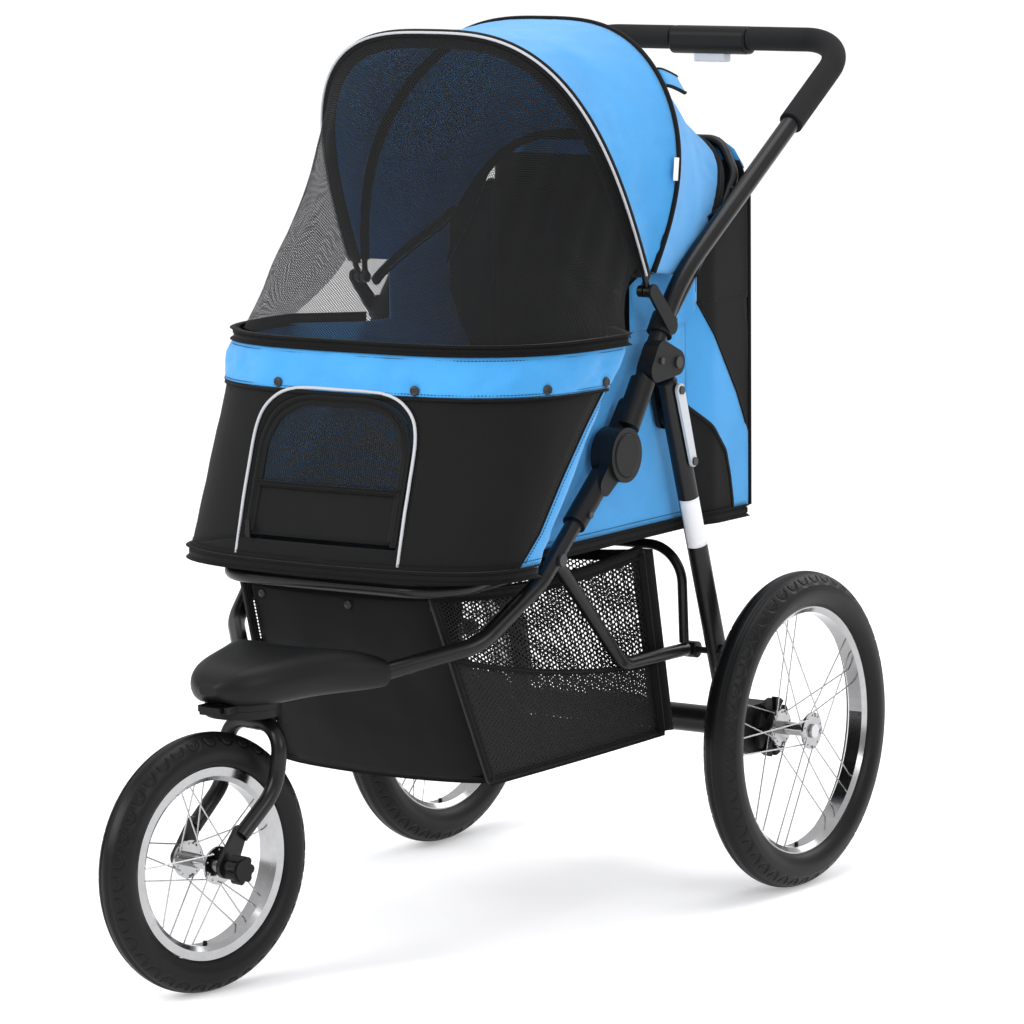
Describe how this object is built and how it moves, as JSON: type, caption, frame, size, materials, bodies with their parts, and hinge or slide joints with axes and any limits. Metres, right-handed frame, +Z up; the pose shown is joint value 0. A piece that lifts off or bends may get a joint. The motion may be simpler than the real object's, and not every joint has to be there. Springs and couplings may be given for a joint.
{
  "type": "pet stroller",
  "caption": "Folding jogger-style pet stroller: zip-fronted fabric cabin with mesh canopy on a black tube frame, storage basket, swivelling front wheel and spoked rear wheels.",
  "frame": {"origin": "middle of the footprint box, on the ground", "axes": "+Z up, -Y forward (direction of travel), +X the stroller's left"},
  "size_m": [0.5804, 1.2211, 1.0543],
  "materials": {
    "rubber_tyre": "matte moulded rubber",
    "rim_chrome": "polished chrome",
    "spoke_steel": "bright drawn wire",
    "hub_chrome": "bright plated",
    "frame_paint": "satin black powder coat",
    "black_plastic": "fine-grained matte",
    "grip_foam": "matte foam",
    "fastener_black": "satin black",
    "axle_steel": "zinc plated",
    "fabric_blue": "woven oxford cloth",
    "fabric_black": "woven oxford cloth",
    "mesh_black": "open knitted mesh",
    "latch_grey": "smooth light grey",
    "board_black": "rigid sheet"
  },
  "bodies": {
    "seat_frame": {"seat_tube": "frame_paint", "seat_pivot_bolts": "fastener_black", "seat_rear_hoop": "frame_paint", "floor_board": "board_black", "cabin": "fabric_black", "storage_basket": "fabric_black"},
    "front_frame": {"lower_tube_left": "frame_paint", "lower_tube_right": "frame_paint", "elbow_lower_left": "black_plastic", "elbow_lower_right": "black_plastic", "elbow_caps": "black_plastic", "sleeve_rivets": "fastener_black", "front_cover": "black_plastic", "swivel_housing": "black_plastic"},
    "upper_frame": {"handle_tube": "frame_paint", "elbow_upper_pair": "black_plastic", "hinge_brackets": "black_plastic", "bracket_rivets": "fastener_black", "canopy_brackets": "black_plastic", "cabin_rear_hoop": "frame_paint", "handle_grips": "grip_foam", "handle_housing": "black_plastic"},
    "rear_legs": {"rear_leg_left": "frame_paint", "rear_leg_right": "frame_paint", "axle_tube": "frame_paint", "axle_housing_left": "black_plastic", "axle_housing_right": "black_plastic", "wheel_axles": "axle_steel", "latch_studs": "fastener_black"},
    "front_fork": {"fork": "frame_paint", "fork_plate": "black_plastic", "front_axle": "axle_steel"},
    "front_wheel": {"front_tyre": "rubber_tyre", "front_rim": "rim_chrome", "front_spokes": "spoke_steel", "front_hub": "hub_chrome"},
    "axle_knob": {"axle_knob": "black_plastic"},
    "rear_wheel_left": {"rear_tyre_left": "rubber_tyre", "rear_rim_left": "rim_chrome", "rear_spokes_left": "spoke_steel", "rear_hub_left": "hub_chrome", "brake_disc_left": "black_plastic"},
    "rear_wheel_right": {"rear_tyre_right": "rubber_tyre", "rear_rim_right": "rim_chrome", "rear_spokes_right": "spoke_steel", "rear_hub_right": "hub_chrome", "brake_disc_right": "black_plastic"},
    "canopy_mid": {"canopy_mid_hoop": "frame_paint", "canopy_front_panel": "fabric_blue", "canopy_rear_panel": "fabric_blue"},
    "canopy_front": {"canopy_front_hoop": "frame_paint", "mesh_window": "mesh_black"},
    "front_door": {"front_door": "mesh_black", "zipper_pull": "black_plastic"},
    "fold_trigger": {"fold_trigger": "latch_grey"},
    "swivel_lock": {"swivel_lock_tab": "black_plastic"},
    "storage_latch": {"storage_latch": "latch_grey"},
    "brake_pedal": {"brake_pedal": "black_plastic"},
    "brake_pin_left": {"brake_pin_left": "axle_steel"},
    "brake_pin_right": {"brake_pin_right": "axle_steel"}
  },
  "joints": [
    {"name": "frame_fold", "type": "hinge", "parent": "seat_frame", "child": "front_frame", "pos_m": [0, -0.07372, 0.45], "axis": [1, 0, 0], "range_deg": [0, 70], "deforming": ["cabin", "storage_basket"]},
    {"name": "elbow_fold", "type": "hinge", "parent": "front_frame", "child": "upper_frame", "pos_m": [0, 0.05528, 0.557], "axis": [1, 0, 0], "range_deg": [-131, 0]},
    {"name": "leg_fold", "type": "hinge", "parent": "seat_frame", "child": "rear_legs", "pos_m": [0, 0.27428, 0.294], "axis": [1, 0, 0], "range_deg": [0, 29]},
    {"name": "front_swivel", "type": "hinge", "parent": "front_frame", "child": "front_fork", "pos_m": [0, -0.40572, 0.31], "axis": [0, 0, 1], "continuous": true},
    {"name": "front_wheel_spin", "type": "hinge", "parent": "front_fork", "child": "front_wheel", "pos_m": [-0.01202, -0.46757, 0.146], "axis": [0.9816, -0.1908, 0], "continuous": true},
    {"name": "axle_knob_turn", "type": "hinge", "parent": "front_fork", "child": "axle_knob", "pos_m": [-0.01202, -0.46757, 0.146], "axis": [0.9816, -0.1908, 0], "continuous": true},
    {"name": "rear_wheel_left_spin", "type": "hinge", "parent": "rear_legs", "child": "rear_wheel_left", "pos_m": [0.2632, 0.35428, 0.1925], "axis": [1, 0, 0], "continuous": true},
    {"name": "rear_wheel_right_spin", "type": "hinge", "parent": "rear_legs", "child": "rear_wheel_right", "pos_m": [-0.2632, 0.35428, 0.1925], "axis": [1, 0, 0], "continuous": true},
    {"name": "canopy_fold", "type": "hinge", "parent": "upper_frame", "child": "canopy_mid", "pos_m": [0, 0.11428, 0.742], "axis": [1, 0, 0], "range_deg": [-27, 0], "deforming": ["canopy_front_panel", "canopy_rear_panel"]},
    {"name": "canopy_front_fold", "type": "hinge", "parent": "canopy_mid", "child": "canopy_front", "pos_m": [0, 0.11428, 0.742], "axis": [1, 0, 0], "range_deg": [-19.5, 0], "deforming": ["mesh_window"]},
    {"name": "door_roll", "type": "hinge", "parent": "seat_frame", "child": "front_door", "pos_m": [0, -0.26072, 0.477], "axis": [1, 0, 0], "range_deg": [0, 110]},
    {"name": "trigger_squeeze", "type": "slide", "parent": "upper_frame", "child": "fold_trigger", "axis": [0, 0, 1], "range_m": [0, 0.005], "stiffness_N_per_m": 400, "springref_m": -0.004},
    {"name": "swivel_lock_flip", "type": "hinge", "parent": "front_frame", "child": "swivel_lock", "pos_m": [0, -0.45472, 0.318], "axis": [1, 0, 0], "range_deg": [-25, 0]},
    {"name": "latch_swing", "type": "hinge", "parent": "rear_legs", "child": "storage_latch", "pos_m": [0.21125, 0.17545, 0.62078], "axis": [1, 0, 0], "range_deg": [0, 60]},
    {"name": "brake_press", "type": "hinge", "parent": "rear_legs", "child": "brake_pedal", "pos_m": [0, 0.35428, 0.1925], "axis": [1, 0, 0], "range_deg": [-20, 0]},
    {"name": "brake_pin_left_slide", "type": "slide", "parent": "rear_legs", "child": "brake_pin_left", "axis": [1, 0, 0], "range_m": [0, 0.0065]},
    {"name": "brake_pin_right_slide", "type": "slide", "parent": "rear_legs", "child": "brake_pin_right", "axis": [-1, 0, 0], "range_m": [0, 0.0065]}
  ],
  "couplings": [
    {"joint": "elbow_fold", "follows": "frame_fold", "ratio": -1.8553},
    {"joint": "leg_fold", "follows": "frame_fold", "ratio": 0.395},
    {"joint": "canopy_front_fold", "follows": "canopy_fold", "ratio": 0.7},
    {"joint": "brake_pin_left_slide", "follows": "brake_press", "m_per_rad": -0.017189},
    {"joint": "brake_pin_right_slide", "follows": "brake_press", "m_per_rad": -0.017189}
  ]
}
